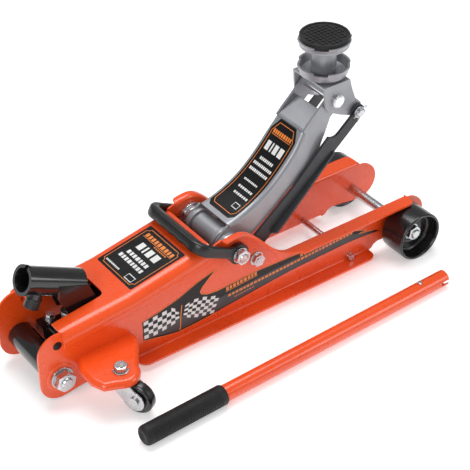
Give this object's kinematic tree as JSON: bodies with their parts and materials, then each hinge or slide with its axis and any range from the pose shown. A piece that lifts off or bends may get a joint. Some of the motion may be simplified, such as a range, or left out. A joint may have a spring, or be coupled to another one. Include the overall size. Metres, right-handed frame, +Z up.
{
  "type": "low profile trolley jack",
  "caption": "Low-profile hydraulic trolley jack: plate frame, raised curved lift arm with level saddle and rubber pad, pump unit, front wheels, rear casters and loose handle.",
  "frame": {"origin": "centre of the footprint of the whole set, jack and loose handle, on the floor", "axes": "+X towards the front wheels and along the jack's length, +Y to the jack's left side, +Z up out of the pad"},
  "size_m": [0.615, 0.3212, 0.341],
  "materials": {
    "orange_paint": "gloss",
    "grey_paint": "satin metallic",
    "dark_grey_paint": "satin",
    "black_paint": "gloss",
    "zinc": "bright zinc plate",
    "label_film": "gloss film",
    "black_plastic": "satin moulded",
    "rubber": "matt"
  },
  "bodies": {
    "chassis": {"side_plate_right": "orange_paint", "side_plate_left": "orange_paint", "top_cover": "orange_paint", "caster_bracket_right": "orange_paint", "caster_bracket_left": "orange_paint", "rear_cross_tube": "black_paint", "rear_bolt": "zinc", "rear_nuts": "zinc", "cross_member": "orange_paint", "front_axle": "zinc", "front_spacers": "black_plastic", "front_axle_nuts": "zinc", "front_cross_rod": "zinc", "main_shaft": "zinc", "main_shaft_nuts": "zinc", "pivot_washers": "zinc", "link_bolts": "zinc", "pump_block": "black_paint", "hydraulic_cylinder": "black_paint", "cylinder_gland": "black_paint", "reservoir": "black_paint", "block_screws": "zinc", "socket_pin": "zinc", "caster_nuts": "zinc", "cover_label": "label_film", "side_decal_right": "label_film", "side_decal_left": "label_film", "return_springs": "zinc", "plunger_spring": "zinc"},
    "arm": {"lift_arm": "grey_paint", "pivot_tube": "grey_paint", "arm_ramp": "grey_paint", "arm_levers": "grey_paint", "lever_pin": "zinc", "arm_label": "label_film"},
    "roller": {"lever_roller": "zinc"},
    "link": {"tie_link_right": "dark_grey_paint", "tie_link_left": "dark_grey_paint", "link_pin": "zinc"},
    "carrier": {"saddle_carrier": "grey_paint", "carrier_bolt": "zinc"},
    "saddle": {"lower_saddle": "grey_paint", "saddle_circlip": "black_paint"},
    "adaptor": {"pad_holder": "grey_paint", "rubber_pad": "rubber"},
    "ram": {"ram": "zinc"},
    "socket": {"handle_socket": "black_paint"},
    "knob": {"clamp_knob": "black_plastic"},
    "plunger": {"pump_plunger": "zinc"},
    "valve": {"release_valve": "zinc"},
    "carry": {"carry_handle": "black_plastic"},
    "wheel_right": {"front_wheel_right": "black_plastic"},
    "wheel_left": {"front_wheel_left": "black_plastic"},
    "fork_right": {"caster_right": "zinc"},
    "fork_left": {"caster_left": "zinc"},
    "roll_right": {"caster_wheel_right": "black_plastic"},
    "roll_left": {"caster_wheel_left": "black_plastic"},
    "handle": {"handle_tube": "orange_paint", "handle_grip": "rubber", "handle_stud": "zinc"}
  },
  "joints": [
    {"name": "arm_lift", "type": "hinge", "parent": "chassis", "child": "arm", "pos_m": [-0.0165, 0.03079, 0.11], "axis": [0, -1, 0], "range_deg": [-58, 6.5], "deforming": ["return_springs"]},
    {"name": "link_swing", "type": "hinge", "parent": "chassis", "child": "link", "pos_m": [0.0165, 0.03079, 0.084], "axis": [0, -1, 0], "range_deg": [-58, 6.5]},
    {"name": "carrier_level", "type": "hinge", "parent": "arm", "child": "carrier", "pos_m": [0.15915, 0.03079, 0.26002], "axis": [0, -1, 0], "range_deg": [-6.5, 58]},
    {"name": "roller_spin", "type": "hinge", "parent": "arm", "child": "roller", "pos_m": [0.00467, 0.03079, 0.0647], "axis": [0, 1, 0], "continuous": true},
    {"name": "ram_slide", "type": "slide", "parent": "chassis", "child": "ram", "axis": [1, 0, 0], "range_m": [-0.049, 0.006]},
    {"name": "saddle_turn", "type": "hinge", "parent": "carrier", "child": "saddle", "pos_m": [0.16215, 0.03079, 0.28402], "axis": [0, 0, 1], "continuous": true},
    {"name": "adaptor_lift", "type": "slide", "parent": "saddle", "child": "adaptor", "axis": [0, 0, 1], "range_m": [0, 0.045]},
    {"name": "socket_pump", "type": "hinge", "parent": "chassis", "child": "socket", "pos_m": [-0.2125, 0.03079, 0.088], "axis": [0, -1, 0], "range_deg": [-17, 25]},
    {"name": "plunger_stroke", "type": "slide", "parent": "chassis", "child": "plunger", "axis": [0, 0, -1], "range_m": [-0.0067, 0.0098], "deforming": ["plunger_spring"]},
    {"name": "knob_turn", "type": "hinge", "parent": "socket", "child": "knob", "pos_m": [-0.27873, 0.03079, 0.12449], "axis": [0.4524, 0, 0.8918], "range_deg": [-180, 180]},
    {"name": "valve_turn", "type": "hinge", "parent": "chassis", "child": "valve", "pos_m": [-0.2625, 0.01879, 0.058], "axis": [1, 0, 0], "range_deg": [0, 120]},
    {"name": "carry_swing", "type": "hinge", "parent": "chassis", "child": "carry", "pos_m": [-0.0165, 0.03079, 0.11], "axis": [0, 1, 0], "range_deg": [0, 7]},
    {"name": "front_right_roll", "type": "hinge", "parent": "chassis", "child": "wheel_right", "pos_m": [0.2635, -0.04721, 0.0355], "axis": [0, 1, 0], "continuous": true},
    {"name": "front_left_roll", "type": "hinge", "parent": "chassis", "child": "wheel_left", "pos_m": [0.2635, 0.10879, 0.0355], "axis": [0, 1, 0], "continuous": true},
    {"name": "caster_right_swivel", "type": "hinge", "parent": "chassis", "child": "fork_right", "pos_m": [-0.2245, -0.07221, 0.05], "axis": [0, 0, 1], "continuous": true},
    {"name": "caster_left_swivel", "type": "hinge", "parent": "chassis", "child": "fork_left", "pos_m": [-0.2245, 0.13379, 0.05], "axis": [0, 0, 1], "continuous": true},
    {"name": "caster_right_roll", "type": "hinge", "parent": "fork_right", "child": "roll_right", "pos_m": [-0.21442, -0.09288, 0.022], "axis": [0.8988, 0.4384, 0], "continuous": true},
    {"name": "caster_left_roll", "type": "hinge", "parent": "fork_left", "child": "roll_left", "pos_m": [-0.24481, 0.14459, 0.022], "axis": [-0.4695, -0.8829, 0], "continuous": true},
    {"name": "handle_lift", "type": "slide", "parent": "chassis", "child": "handle", "axis": [0, 0, 1], "range_m": [0, 0.3]}
  ],
  "couplings": [
    {"joint": "link_swing", "follows": "arm_lift", "ratio": 1},
    {"joint": "carrier_level", "follows": "arm_lift", "ratio": -1},
    {"joint": "ram_slide", "follows": "arm_lift", "m_per_rad": 0.0479},
    {"joint": "plunger_stroke", "follows": "socket_pump", "m_per_rad": 0.022}
  ]
}
